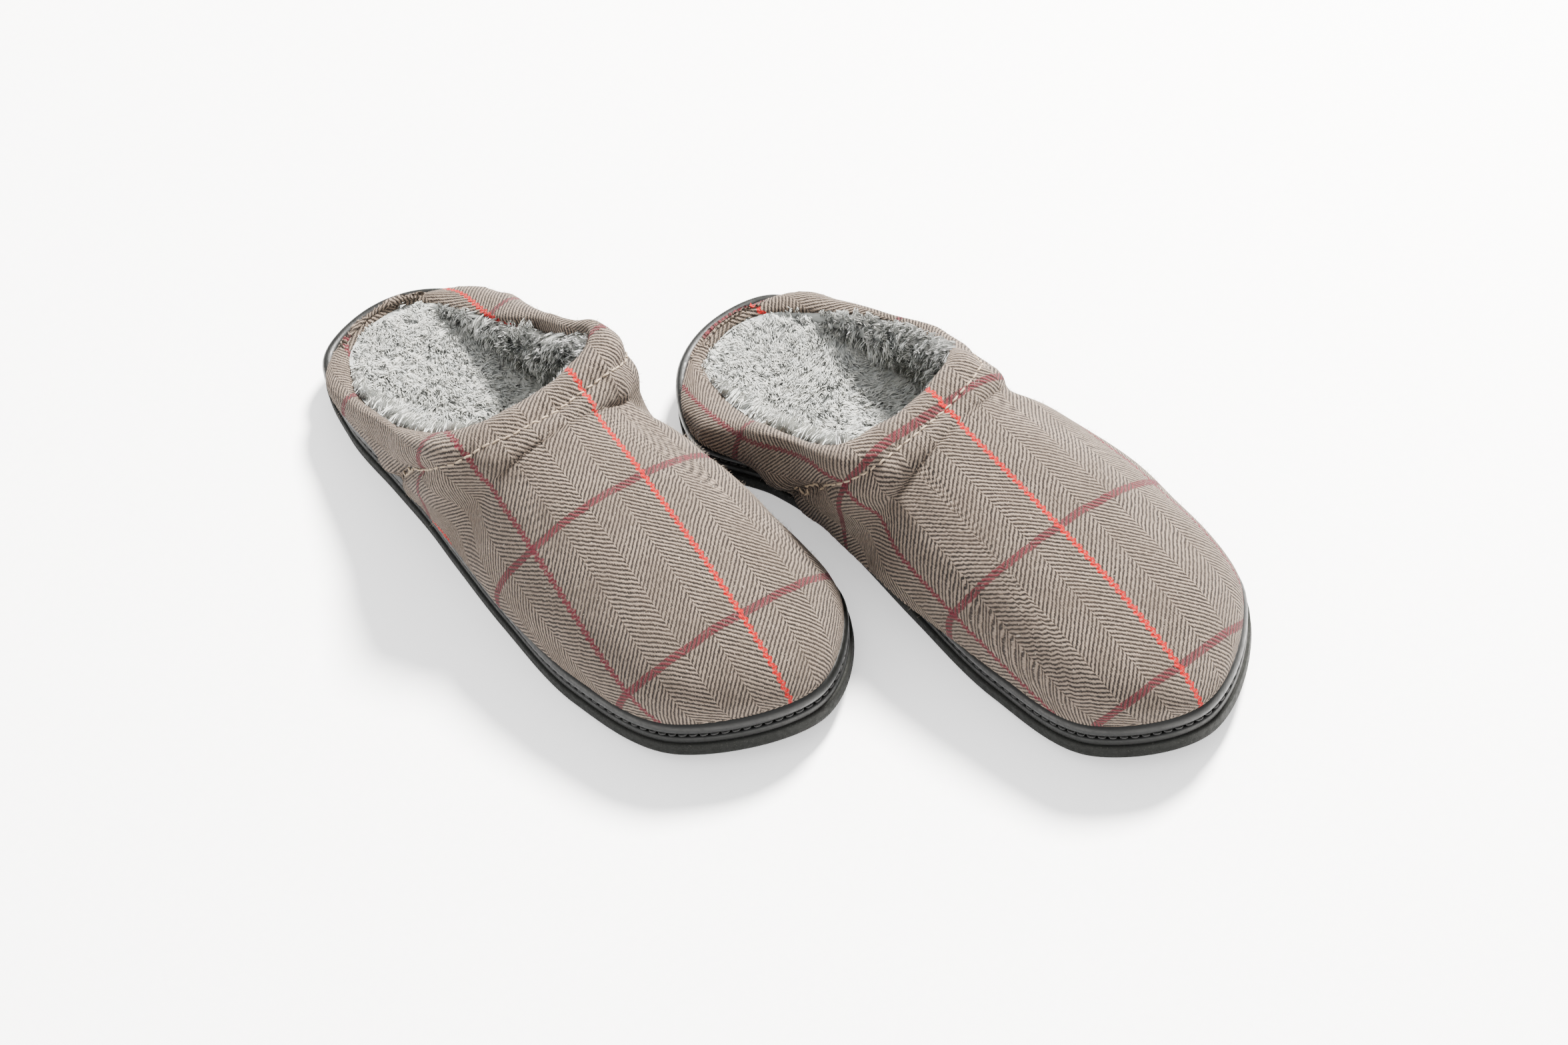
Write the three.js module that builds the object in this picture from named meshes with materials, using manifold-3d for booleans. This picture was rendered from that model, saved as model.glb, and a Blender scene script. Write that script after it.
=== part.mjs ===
// A pair of backless padded slippers on stitched rubber soles.
// Millimetres, +Z up. The toes point along -Y and the soles rest on Z = 0.
// Each slipper is laid out in its own frame: heel at Y = 0, toe at Y = -soleLength,
// the outer (lateral) side of the foot on -X and the inner (medial) side on +X.

import * as THREE from 'three';
import { LoftGeometry } from 'three/addons/geometries/LoftGeometry.js';
import { mergeVertices } from 'three/addons/utils/BufferGeometryUtils.js';
import Module from 'manifold-3d';

const solids = await Module();
solids.setup();

// How the two slippers stand beside each other
const heelSpacing = 90.6;
const stagger = 109.5;
const toeOut = THREE.MathUtils.degToRad(2.45);

// Plan of the sole: how far along the foot, as a share of the length, then half widths
const soleLength = 285;
const heelEnd = { along: 0.03, lateral: 26.6, medial: 25.1 };
const heel = { along: 0.14, lateral: 37.9, medial: 45 };
const quarter = { along: 0.26, lateral: 40.5, medial: 36 };
const waist = { along: 0.35, lateral: 42.4, medial: 34.3 };
const arch = { along: 0.43, lateral: 45.4, medial: 37 };
const instep = { along: 0.56, lateral: 49.6, medial: 43 };
const ball = { along: 0.73, lateral: 51.5, medial: 49.3 };
const toe = { along: 0.9, lateral: 38.9, medial: 45.8 };
const tipMedial = 10.5;

// Sole, from the floor up
const outsoleHeight = 7.6;
const outsoleRound = 3;
const coverHeight = 3.4;
const coverThickness = 2.2;
const coverInset = 1.4;
const threadHeight = 0.8;
const threadWidth = 1.2;
const bindingHeight = 5.8;
const bindingThickness = 4.8;
const bindingInset = 0.6;
const midsoleHeight = 4.7;
const boardHeight = 1.2;
const cushionHeight = 3.2;
const sockHeight = 2.6;
const toeSpring = 8;
const springFrom = 0.62;

// Upper
const tweedThickness = 1.4;
const waddingThickness = 2.6;
const liningThickness = 3;
const throatAlong = 130;
const heelRim = 20;
const throatRim = 72;
const rimDrop = 3;
const rollWidth = 20;
const rollStart = 30;
const vampTop = 76;
const lateralFullness = 2;
const medialFullness = 3;
const archOverhang = 8;
const bendDepth = 12;
const stitchThickness = 0.9;
const liningDrop = 2.4;
const midsoleClear = 1.9;
const insoleClear = 1.8;

// Opening edge, one row for each point of the sole outline: how far along, as a share of
// throatAlong, how far across, as a share of the sole there, and how far up, from heelRim (0)
// to throatRim (1)
const opening = [
  { along: 0.09, lateral: 0, rise: 0 },
  { along: 0.13, lateral: 0.5, rise: 0 },
  { along: 0.32, lateral: 0.77, rise: 0.13 },
  { along: 0.56, lateral: 0.84, rise: 0.4 },
  { along: 0.76, lateral: 0.8, rise: 0.64 },
  { along: 0.9, lateral: 0.65, rise: 0.86 },
  { along: 0.97, lateral: 0.45, rise: 0.96 },
  { along: 0.99, lateral: 0.22, rise: 1 },
  { along: 1, lateral: 0.06, rise: 1 },
  { along: 1, medial: 0.12, rise: 1 },
  { along: 1, medial: 0.33, rise: 1 },
  { along: 0.99, medial: 0.56, rise: 1 },
  { along: 0.975, medial: 0.8, rise: 0.98 },
  { along: 0.92, medial: 1, rise: 0.91 },
  { along: 0.77, medial: 1, rise: 0.67 },
  { along: 0.57, medial: 0.88, rise: 0.37 },
  { along: 0.315, medial: 0.58, rise: 0.13 },
  { along: 0.13, medial: 0.5, rise: 0 },
];

// Clearances: between stacked solids, between the layers of the upper, and round a trimmed piece
const seat = 0.3;
const layerGap = 0.6;
const roomGap = 0.5;

// How finely the solids are divided
const ringSteps = 38;
const soleSections = 20;
const profileSteps = 9;
const wallSteps = 6;
const rollSteps = 8;
const trimTolerance = 0.25;

const levels = { outsole: 0, cover: outsoleHeight + seat };
levels.thread = levels.cover + coverHeight + seat;
levels.binding = levels.thread + threadHeight + seat;
levels.bindingTop = levels.binding + bindingHeight;
levels.midsole = levels.cover;
levels.board = levels.midsole + midsoleHeight + seat;
levels.cushion = levels.board + boardHeight + seat;
levels.sock = levels.cushion + cushionHeight + seat;

const upperInset = bindingInset + bindingThickness + layerGap;
const { clamp, lerp, smoothstep } = THREE.MathUtils;

function finish(color, roughness, metalness = 0) {
  return new THREE.MeshStandardMaterial({ color, roughness, metalness });
}

const finishes = {
  rubber: finish(0x3b3d3b, 0.8),
  smoothRubber: finish(0x353735, 0.45),
  thread: finish(0x1c1c1c, 0.7),
  paleThread: finish(0xc9b79a, 0.85),
  foam: finish(0xe4dfcf, 0.95),
  board: finish(0x9b8460, 0.9),
  tweed: finish(0x9c9388, 0.95),
  plush: finish(0xc6cccb, 1),
};

// Sole outline, once round from the back of the heel by the lateral side
const stations = [heelEnd, heel, quarter, waist, arch, instep, ball, toe];
const outlineKeys = [
  new THREE.Vector3(0, 0, 0),
  ...stations.map((at) => new THREE.Vector3(-at.lateral, -at.along * soleLength, 0)),
  new THREE.Vector3(tipMedial, -soleLength, 0),
  ...stations.map((at) => new THREE.Vector3(at.medial, -at.along * soleLength, 0)).reverse(),
];
const outline = new THREE.CatmullRomCurve3(outlineKeys, true, 'centripetal');

function inwardAt(turn) {
  const tangent = outline.getTangent(turn);
  return new THREE.Vector3(-tangent.y, tangent.x, 0).normalize();
}

// Height the sole curls up by, at a distance from the heel
function springAt(along) {
  const share = clamp((along / soleLength - springFrom) / (1 - springFrom), 0, 1.2);
  return toeSpring * share * share;
}

// Outline moved inward, as points once round
function insetOutline(inset, count = 240) {
  return Array.from({ length: count }, (_, i) => {
    const turn = i / count;
    return outline.getPoint(turn).addScaledVector(inwardAt(turn), inset);
  });
}

// Where an inset outline crosses a line at one distance from the heel, lowest and highest X
function crossing(points, along) {
  const hits = [];
  points.forEach((a, i) => {
    const b = points[(i + 1) % points.length];
    if ((a.y + along) * (b.y + along) <= 0 && a.y !== b.y) {
      hits.push(lerp(a.x, b.x, (-along - a.y) / (b.y - a.y)));
    }
  });
  return hits.length ? { low: Math.min(...hits), high: Math.max(...hits) } : null;
}

const edgePoints = insetOutline(0);

function edgeAt(along) {
  return crossing(edgePoints, clamp(along, 1, soleLength - 1));
}

const rimKeys = opening.map(({ along, lateral, medial, rise }) => {
  const edge = edgeAt(along * throatAlong);
  const across = medial === undefined ? edge.low * lateral : edge.high * medial;
  return new THREE.Vector3(across, -along * throatAlong, lerp(heelRim, throatRim, rise));
});
const rim = new THREE.CatmullRomCurve3(rimKeys, true, 'centripetal');

// Surface of the vamp above a point in plan, as if the foot filled it
function vampHeight(point, inset) {
  const along = -point.y;
  const wallTop = levels.bindingTop + springAt(along);
  const end = soleLength - inset;
  const share = clamp((along - 100) / (end - 100), 0, 1);
  const ridge = wallTop + (vampTop - levels.bindingTop) * Math.pow(1 - share ** 1.9, 1 / 1.8) * 0.97;
  const edge = edgeAt(along);
  const middle = (edge.low + edge.high) / 2;
  const half = (edge.high - edge.low) / 2 - inset;
  const across = clamp(Math.abs(point.x - middle) / Math.max(half, 1), 0, 1);
  const fullness = point.x < middle ? lateralFullness : medialFullness;
  return wallTop + (ridge - wallTop) * Math.pow(1 - across ** fullness, 1 / 2);
}

// One slice of the upper: it leaves the sole edge square and bends round to the opening.
// Distances along it count from the sole edge, inward.
function makeSlice(turn) {
  const start = outline.getPoint(turn);
  const rimPoint = rim.getPoint(turn);
  const rimUp = rimPoint.z;
  const end = rimPoint.clone().setZ(0);
  const along = -start.y;
  const inward = inwardAt(turn);
  const tangent = rim.getTangent(turn);
  const exit = new THREE.Vector3(-tangent.y, tangent.x, 0).normalize();
  const lift = springAt(along);
  const archBulge = start.x > 0 ? archOverhang * Math.exp(-(((along - 118) / 58) ** 2)) : 0;
  const toeInset = 4.5 * smoothstep(along, 100, 240);
  const heelInset = 2.5 * (1 - smoothstep(along, 0, 25));
  const overhang = toeInset + heelInset - 1 - archBulge;
  const bulge = start.clone().addScaledVector(inward, overhang);
  const bend = bulge.clone().addScaledVector(inward, Math.min(0.4 * bulge.distanceTo(end), bendDepth));
  const way = new THREE.QuadraticBezierCurve3(bulge, bend, end);
  const reach = overhang + way.getLength();
  const vamp = smoothstep(reach - overhang, 16, 48) * smoothstep(along, 95, 140);
  const corner = Math.exp(-(((along - 130) / 30) ** 2));
  const wallTop = levels.bindingTop + lift;
  const low = wallTop + 2.5 + 0.25 * Math.max(0, -overhang);
  const slice = { start, inward, exit, way, reach, lift, overhang, vamp, corner, wallTop, low, rimUp };
  const stitch = { x: reach - Math.min(rollWidth, reach - overhang), z: low };
  const dome = vampHeight(place(slice, stitch.x, 0), overhang) - 1;
  stitch.z = lerp(low, Math.max(low, dome), vamp);
  const crest = { x: lerp(stitch.x, reach, 0.55), z: Math.max(rimUp + rimDrop, stitch.z + 1.5) };
  return { ...slice, stitch, crest };
}

function place({ way, overhang, reach, inward, exit }, x, z) {
  const point = way.getPointAt(clamp((x - overhang) / (reach - overhang), 0, 1));
  point.addScaledVector(inward, Math.min(x - overhang, 0));
  return point.addScaledVector(exit, Math.max(x - reach, 0)).setZ(z);
}

// A point square in from the sole edge
function inFromEdge({ start, inward }, inset, z) {
  return start.clone().addScaledVector(inward, inset).setZ(z);
}

const slices = Array.from({ length: ringSteps }, (_, i) => makeSlice(i / ringSteps));

// Outer face of the tweed: up the side or over the vamp to the stitching, then over the roll
function outerPath(slice) {
  const { overhang, vamp, low, stitch, crest, reach, rimUp } = slice;
  const points = [];
  for (let k = 0; k < wallSteps; k += 1) {
    const share = k / wallSteps;
    const x = lerp(overhang, stitch.x, share ** lerp(1, 1.7, vamp));
    const dome = Math.max(vampHeight(place(slice, x, 0), overhang), low);
    points.push(place(slice, x, lerp(lerp(low, stitch.z, share), dome, vamp)));
  }
  for (let k = 0; k <= rollSteps; k += 1) {
    const angle = (k / rollSteps) * Math.PI;
    const rising = angle < Math.PI / 2;
    const width = rising ? crest.x - stitch.x : reach - crest.x;
    const foot = rising ? stitch.z : rimUp;
    const x = crest.x - width * Math.cos(angle);
    points.push(place(slice, x, lerp(foot, crest.z, Math.sin(angle))));
  }
  return points.filter((point, k) => k === 0 || point.distanceTo(points[k - 1]) > 0.05);
}

// Points evenly spaced along a slice, and the share of the way at which the stitching runs
function samplePath(slice) {
  const points = outerPath(slice);
  const curve = new THREE.CatmullRomCurve3(points, false, 'centripetal');
  const sewn = Math.max(points.length - rollSteps - 1, 0) / (points.length - 1);
  slice.sewnShare = curve.getLengths(200)[Math.round(sewn * 200)] / curve.getLength();
  return curve.getSpacedPoints(profileSteps);
}

// Rows evened out where the collar turns into the vamp
function evened(rows) {
  return rows.map((row, i) => {
    const before = rows[(i + rows.length - 1) % rows.length];
    const after = rows[(i + 1) % rows.length];
    return row.map((point, j) => {
      const middle = before[j].clone().lerp(after[j], 0.5);
      return point.clone().lerp(middle, 0.6 * slices[i].corner);
    });
  });
}

// Outward normals of a surface given as one row of points for each slice
function normalsOf(rows) {
  return rows.map((row, i) => {
    const before = rows[(i + rows.length - 1) % rows.length];
    const after = rows[(i + 1) % rows.length];
    return row.map((_, j) => {
      const round = after[j].clone().sub(before[j]);
      const up = row[Math.min(j + 1, row.length - 1)].clone().sub(row[Math.max(j - 1, 0)]);
      return round.cross(up).normalize();
    });
  });
}

// The same surface moved inward by a depth
function inside(rows, normals, depth) {
  return rows.map((row, i) => row.map((point, j) => point.clone().addScaledVector(normals[i][j], -depth)));
}

// A point part of the way along a row
function pointAt(row, column) {
  const low = Math.floor(clamp(column, 0, row.length - 1.001));
  return row[low].clone().lerp(row[low + 1], column - low);
}

// Outer face of the tweed; the first two points of a row stand inside the binding
const footSteps = 2;
const pathRows = evened(evened(evened(slices.map(samplePath))));
const outerRows = pathRows.map((row, i) => [
  inFromEdge(slices[i], upperInset, levels.board + slices[i].lift),
  inFromEdge(slices[i], upperInset, slices[i].wallTop + layerGap),
  ...row,
]);
const outerNormals = normalsOf(outerRows);
const tweedBack = inside(outerRows, outerNormals, tweedThickness);
const padFace = inside(outerRows, outerNormals, tweedThickness + layerGap);
const padDepth = tweedThickness + waddingThickness + 2 * layerGap;
const padBack = inside(outerRows, outerNormals, padDepth);

// Face of the lining that touches the padding: arched under the vamp, upright at the rear
const archSteps = 5;
const liningRows = evened(slices.map((slice, i) => {
  const { start, inward, way, reach, vamp, rimUp, sewnShare } = slice;
  const base = levels.board + slice.lift + seat;
  const top = place(slice, reach + 1.5 * layerGap, rimUp - liningDrop * smoothstep(-slice.way.v2.y, 40, 90));
  const depth = way.v2.clone().sub(start).dot(inward);
  const foot = inFromEdge(slice, Math.max(upperInset + tweedThickness + layerGap, depth) + layerGap, base);
  const arched = [inFromEdge(slice, upperInset + padDepth, base)];
  for (let k = 0; k <= archSteps; k += 1) {
    arched.push(pointAt(padBack[i], footSteps + (profileSteps * sewnShare * k) / archSteps));
  }
  arched.push(place(slice, reach + 2 * layerGap, rimUp - liningDrop));
  return arched.map((point, j) => foot.clone().lerp(top, j / (arched.length - 1)).lerp(point, vamp));
}));
const liningNormals = normalsOf(liningRows);
const liningBack = inside(liningRows, liningNormals, liningThickness);
const liningPad = inside(liningRows, liningNormals, -layerGap);

// A solid swept round the slipper through one closed profile for each slice
function ring(profileOf, from = 0, to = ringSteps) {
  const closed = to - from === ringSteps;
  const sections = Array.from({ length: to - from + 1 }, (_, k) => profileOf((from + k) % ringSteps));
  return new LoftGeometry(sections, { closed: true, capStart: !closed, capEnd: !closed });
}

function shell(outer, inner) {
  return [...inner, ...outer.slice().reverse()];
}

// Padding between the tweed and the lining, between two pairs of columns
function padding(i, [outerFrom, outerTo], [innerFrom, innerTo], steps = 4) {
  const outer = [];
  const inner = [];
  for (let k = 0; k <= steps; k += 1) {
    outer.push(pointAt(padFace[i], lerp(outerFrom, outerTo, k / steps)));
    inner.push(pointAt(liningPad[i], lerp(innerFrom, innerTo, k / steps)));
  }
  return shell(outer, inner);
}

// A plate of the sole: cross sections from heel to toe, inside a closed outline
function plate(points, low, high, round = 0) {
  const first = -Math.max(...points.map((point) => point.y)) + 0.5;
  const last = -Math.min(...points.map((point) => point.y)) - 0.5;
  const sections = [];
  for (let i = 0; i <= soleSections; i += 1) {
    const along = lerp(first, last, (1 - Math.cos((i / soleSections) * Math.PI)) / 2);
    const edge = crossing(points, along);
    const lift = springAt(along);
    const half = (edge.high - edge.low) / 2;
    const cut = Math.min(round, half * 0.4);
    const corner = cut ? [[cut, 0], [cut * 0.3, cut * 0.3], [0, cut]] : [[0, 0]];
    const left = corner.map(([x, z]) => [edge.low + x, low + z]);
    const right = corner.map(([x, z]) => [edge.high - x, low + z]).reverse();
    const profile = [...left.reverse(), ...right.reverse(), [edge.high, high], [edge.low, high]];
    sections.push(profile.map(([x, z]) => new THREE.Vector3(x, -along, z + lift)));
  }
  return new LoftGeometry(sections, { closed: true, capStart: true, capEnd: true });
}

function band(inset, thickness, low, height) {
  return ring((i) => {
    const slice = slices[i];
    const z = low + slice.lift;
    return [
      inFromEdge(slice, inset, z),
      inFromEdge(slice, inset + thickness, z),
      inFromEdge(slice, inset + thickness, z + height),
      inFromEdge(slice, inset, z + height),
    ];
  });
}

function makeOutsole() {
  return plate(insetOutline(0), levels.outsole, outsoleHeight, outsoleRound);
}

function makePlatformCover() {
  return band(coverInset, coverThickness, levels.cover, coverHeight);
}

function makeEdgeStitch() {
  return band(coverInset, threadWidth, levels.thread, threadHeight);
}

// Half-round rubber band that covers the edge of the tweed
function makeEdgeBinding() {
  return ring((i) => {
    const slice = slices[i];
    const low = levels.binding + slice.lift;
    const outer = bindingInset;
    const inner = bindingInset + bindingThickness;
    return [
      inFromEdge(slice, outer + bindingThickness * 0.3, low),
      inFromEdge(slice, inner, low),
      inFromEdge(slice, inner, low + bindingHeight),
      inFromEdge(slice, outer + bindingThickness * 0.45, low + bindingHeight * 0.92),
      inFromEdge(slice, outer, low + bindingHeight * 0.5),
    ];
  });
}

function toSolid(geometry) {
  const bare = new THREE.BufferGeometry().setAttribute('position', geometry.getAttribute('position'));
  const merged = mergeVertices(bare.setIndex(geometry.index), 1e-3);
  return new solids.Manifold(new solids.Mesh({
    numProp: 3,
    vertProperties: merged.attributes.position.array,
    triVerts: new Uint32Array(merged.index.array),
  }));
}

// A padded piece trimmed clear of its neighbours: its largest remaining body
function trimmed(geometry, neighbours) {
  let solid = toSolid(geometry);
  neighbours.forEach((neighbour) => {
    solid = solid.subtract(toSolid(neighbour));
  });
  const [body] = solid.decompose().sort((a, b) => b.volume() - a.volume());
  const mesh = body.simplify(trimTolerance).getMesh();
  return new THREE.BufferGeometry()
    .setAttribute('position', new THREE.BufferAttribute(mesh.vertProperties, 3))
    .setIndex(new THREE.BufferAttribute(mesh.triVerts, 1));
}

function makeMidsole() {
  const inset = coverInset + coverThickness + midsoleClear;
  return plate(insetOutline(inset), levels.midsole, levels.midsole + midsoleHeight);
}

// The board, the cushion and the sock lie inside the foot of the lining
const insoleEdge = slices.map((slice, i) => {
  const top = levels.sock + sockHeight + slice.lift + 3;
  const steps = liningBack[i].filter((point, j) => j === 0 || liningBack[i][j - 1].z < top);
  const depths = steps.map((point) => point.clone().sub(slice.start).dot(slice.inward));
  return inFromEdge(slice, Math.max(...depths) + insoleClear, 0);
});

function makeBoard() {
  return plate(insoleEdge, levels.board, levels.board + boardHeight);
}

function makeCushion() {
  return plate(insoleEdge, levels.cushion, levels.cushion + cushionHeight);
}

function makeSock() {
  return plate(insoleEdge, levels.sock, levels.sock + sockHeight);
}

function makeTweedUpper() {
  return ring((i) => shell(outerRows[i], tweedBack[i]));
}

// The tweed and the lining with their clearance all round
function makeRoom(rows, normals, thickness) {
  const outer = inside(rows, normals, -roomGap);
  const inner = inside(rows, normals, thickness + roomGap);
  return ring((i) => shell(outer[i], inner[i]));
}

const tweedRoom = makeRoom(outerRows, outerNormals, tweedThickness);
const liningRoom = makeRoom(liningRows, liningNormals, liningThickness);

const vampFrom = slices.findIndex((slice) => slice.vamp > 0.9);
const vampTo = slices.findLastIndex((slice) => slice.vamp > 0.9);

function makeWadding() {
  return trimmed(ring((i) => {
    const sewn = slices[i].sewnShare;
    const outer = [footSteps + 0.2, footSteps + profileSteps * (sewn - 0.06)];
    return padding(i, outer, [1.2, archSteps * 0.92 + 1], 6);
  }, vampFrom, vampTo), [tweedRoom, liningRoom]);
}

const wadding = makeWadding();

// Foam inside the folded edge, from one side of the heel round the throat to the other
const rollFrom = slices.findIndex((slice) => -slice.way.v2.y > rollStart);
const rollTo = slices.findLastIndex((slice) => -slice.way.v2.y > rollStart);

function makeCollarRoll() {
  return trimmed(ring((i) => {
    const { vamp, sewnShare, wallTop } = slices[i];
    const row = liningRows[i];
    const last = row.length - 1;
    const top = last - 3.2 / row[last].distanceTo(row[last - 1]);
    const foot = Math.min((last * (wallTop + 3 - row[0].z)) / (row[last].z - row[0].z), top - 0.3);
    const outer = [footSteps + lerp(0.8, profileSteps * (sewnShare + 0.03), vamp), footSteps + profileSteps * 0.9];
    return padding(i, outer, [lerp(foot, archSteps + 1.1, vamp), top]);
  }, rollFrom, rollTo), [tweedRoom, liningRoom, wadding]);
}

function makeLining() {
  return trimmed(ring((i) => shell(liningRows[i], liningBack[i])), [tweedRoom]);
}

// Row of pale stitches that holds the fold, from sole edge to sole edge over the instep
function makeThroatStitch() {
  return trimmed(ring((i) => {
    const column = footSteps + profileSteps * slices[i].sewnShare;
    const point = pointAt(outerRows[i], column);
    const normal = pointAt(outerNormals[i], column).normalize();
    const up = pointAt(outerRows[i], column + 0.3).sub(point).setLength(stitchThickness / 2);
    const near = point.clone().addScaledVector(normal, layerGap);
    const far = point.clone().addScaledVector(normal, layerGap + stitchThickness);
    return [near.clone().sub(up), near.clone().add(up), far.clone().add(up), far.clone().sub(up)];
  }, vampFrom + 1, vampTo - 2), [tweedRoom]);
}

const pieces = [
  ['outsole', makeOutsole, finishes.rubber],
  ['platform_cover', makePlatformCover, finishes.smoothRubber],
  ['edge_stitch', makeEdgeStitch, finishes.thread],
  ['edge_binding', makeEdgeBinding, finishes.smoothRubber],
  ['midsole_foam', makeMidsole, finishes.foam],
  ['insole_board', makeBoard, finishes.board],
  ['insole_cushion', makeCushion, finishes.foam],
  ['plush_sock', makeSock, finishes.plush],
  ['tweed_upper', makeTweedUpper, finishes.tweed],
  ['vamp_wadding', () => wadding, finishes.foam],
  ['collar_roll', makeCollarRoll, finishes.foam],
  ['plush_lining', makeLining, finishes.plush],
  ['throat_stitch', makeThroatStitch, finishes.paleThread],
];

const shapes = pieces.map(([name, make, material]) => ({ name, geometry: make(), material }));

function makeSlipper(side) {
  const slipper = new THREE.Group();
  shapes.forEach(({ name, geometry, material }) => {
    const piece = new THREE.Mesh(geometry, material);
    piece.name = `${side}_${name}`;
    slipper.add(piece);
  });
  return slipper;
}

const group = new THREE.Group();
const backToFront = stagger + soleLength * Math.cos(toeOut);

const right = makeSlipper('right');
right.position.set(-heelSpacing / 2, backToFront / 2, 0);
right.rotation.z = -toeOut;

const left = makeSlipper('left');
left.scale.x = -1;
left.position.set(heelSpacing / 2, backToFront / 2 - stagger, 0);
left.rotation.z = toeOut;

group.add(right, left);

export default group;
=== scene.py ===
import math
import bpy
import numpy as np
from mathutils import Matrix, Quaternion, Vector
from mathutils.bvhtree import BVHTree


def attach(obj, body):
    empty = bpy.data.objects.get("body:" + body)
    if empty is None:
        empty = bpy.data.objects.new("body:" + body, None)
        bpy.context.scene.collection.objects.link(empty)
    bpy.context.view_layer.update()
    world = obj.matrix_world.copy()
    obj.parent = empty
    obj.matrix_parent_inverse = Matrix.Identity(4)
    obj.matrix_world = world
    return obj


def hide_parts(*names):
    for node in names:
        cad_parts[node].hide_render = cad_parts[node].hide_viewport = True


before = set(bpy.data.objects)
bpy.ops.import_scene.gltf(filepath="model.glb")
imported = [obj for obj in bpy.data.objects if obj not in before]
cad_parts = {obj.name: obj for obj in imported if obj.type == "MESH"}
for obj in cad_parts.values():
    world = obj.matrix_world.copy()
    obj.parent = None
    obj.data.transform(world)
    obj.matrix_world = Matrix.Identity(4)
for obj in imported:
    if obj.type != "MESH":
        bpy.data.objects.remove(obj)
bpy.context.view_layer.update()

# all sizes in millimetres, in one slipper's own layout: heel at s = 0, toe at s = 285,
# x below 0 on the outer side of the foot; turned into the shared frame by toWorld
pair = dict(heelSpacing=90.6, stagger=109.5, toeOut=math.radians(2.45), length=285.0)

sole = dict(
    stations=[(0.03, 26.6, 25.1), (0.14, 37.9, 45), (0.26, 40.5, 36), (0.35, 42.4, 34.3),
              (0.43, 45.4, 37), (0.56, 49.6, 43), (0.73, 51.5, 49.3), (0.9, 38.9, 45.8)],
    tip=10.5, spring=8.0, springFrom=0.62, steps=480)

upper = dict(
    throat=130.0, heelRim=20.0, throatRim=72.0, vampTop=76.0, wallTop=18.5,
    rollWidth=20.0, crest=3.0, crestShare=0.55, leastRoll=1.5,     # the padded collar
    lateralFullness=2.0, medialFullness=3.0,     # how square the vamp is across
    ridgeFrom=100, ridgeFall=1.9, ridgeRound=1.8, ridgeShare=0.97,     # and its middle line
    vampLengths=(16, 48), vampStretch=(95, 140),     # where the wall turns into the vamp
    archOverhang=8.0, archAt=118, archReach=58,
    toeIn=4.5, toeStretch=(100, 240), heelIn=2.5, heelStretch=(0, 25), wallOut=1,
    bend=12.0, bendShare=0.4, hem=3.2, archRise=0.25, wallBunch=1.7,
    tucked=[(4.2, -2.5, 0), (3.4, 0.1, 0), (3.0, 1.1, 0.62)],     # foot behind the binding
    turnedIn=[(1.2, 3.5), (1.6, 8)],     # end of the cloth behind the pile
    wayPoints=40, wallPoints=26, rollPoints=33, leastStep=0.03, slices=360, columns=96,
    evenedStretch=(130, 30), evenedPasses=40,     # the turn of the collar, smoothed
    opening=[(0.09, 0, 0), (0.13, -0.5, 0), (0.32, -0.77, 0.13), (0.56, -0.84, 0.4),
             (0.76, -0.8, 0.64), (0.9, -0.65, 0.86), (0.97, -0.45, 0.96), (0.99, -0.22, 1),
             (1, -0.06, 1), (1, 0.12, 1), (1, 0.33, 1), (0.99, 0.56, 1), (0.975, 0.8, 0.98),
             (0.92, 1, 0.91), (0.77, 1, 0.67), (0.57, 0.88, 0.37), (0.315, 0.58, 0.13),
             (0.13, 0.5, 0)])

seeds = dict(      # a set of random draws for each slipper
    right=dict(padding=11, stitches=5, fibres=61, binding=41, lock=3, sock=101, lining=151),
    left=dict(padding=29, stitches=6, fibres=67, binding=43, lock=4, sock=202, lining=252))


def lerp(a, b, k):
    return a + (b - a) * k


def smooth(value, low, high):
    k = np.clip((value - low) / (high - low), 0, 1)
    return k * k * (3 - 2 * k)


def splineThrough(points, count, closed=True):
    # centripetal spline, the same parameter step between any two keys
    points = np.asarray(points, float)
    total = len(points)
    spans = total if closed else total - 1
    if not closed:
        points = np.vstack([2 * points[0] - points[1], points, 2 * points[-1] - points[-2]])
    at = np.arange(count) / count * spans if closed else np.linspace(0, spans, count)
    first = np.minimum(at.astype(int), spans - 1)
    k = (at - first)[:, None]
    if closed:
        p0, p1, p2, p3 = (points[(first + shift) % total] for shift in (-1, 0, 1, 2))
    else:
        p0, p1, p2, p3 = (points[first + shift] for shift in (0, 1, 2, 3))
    d0, d1, d2 = (np.maximum(np.linalg.norm(b - a, axis=1), 1e-4)[:, None] ** 0.5
                  for a, b in ((p0, p1), (p1, p2), (p2, p3)))
    t1 = ((p1 - p0) / d0 - (p2 - p0) / (d0 + d1) + (p2 - p1) / d1) * d1
    t2 = ((p2 - p1) / d1 - (p3 - p1) / (d1 + d2) + (p3 - p2) / d2) * d1
    return (p1 + t1 * k + (-3 * p1 + 3 * p2 - 2 * t1 - t2) * k ** 2
            + (2 * p1 - 2 * p2 + t1 + t2) * k ** 3)


def lengthsAlong(path):
    # distance run at each point of a path
    return np.concatenate([[0], np.cumsum(np.linalg.norm(np.diff(path, axis=0), axis=1))])


def readAt(wanted, length, path):
    # points of a path at the wanted distances
    return np.stack([np.interp(wanted, length, values) for values in path.T], axis=-1)


def evenlySpaced(rows, count):
    # rows of points resampled to even steps along each row
    out = []
    for row in rows:
        length = lengthsAlong(row)
        out.append(readAt(np.linspace(0, length[-1], count), length, row))
    return np.array(out)


def unit(v):
    return v / np.maximum(np.linalg.norm(v, axis=-1, keepdims=True), 1e-9)


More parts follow.
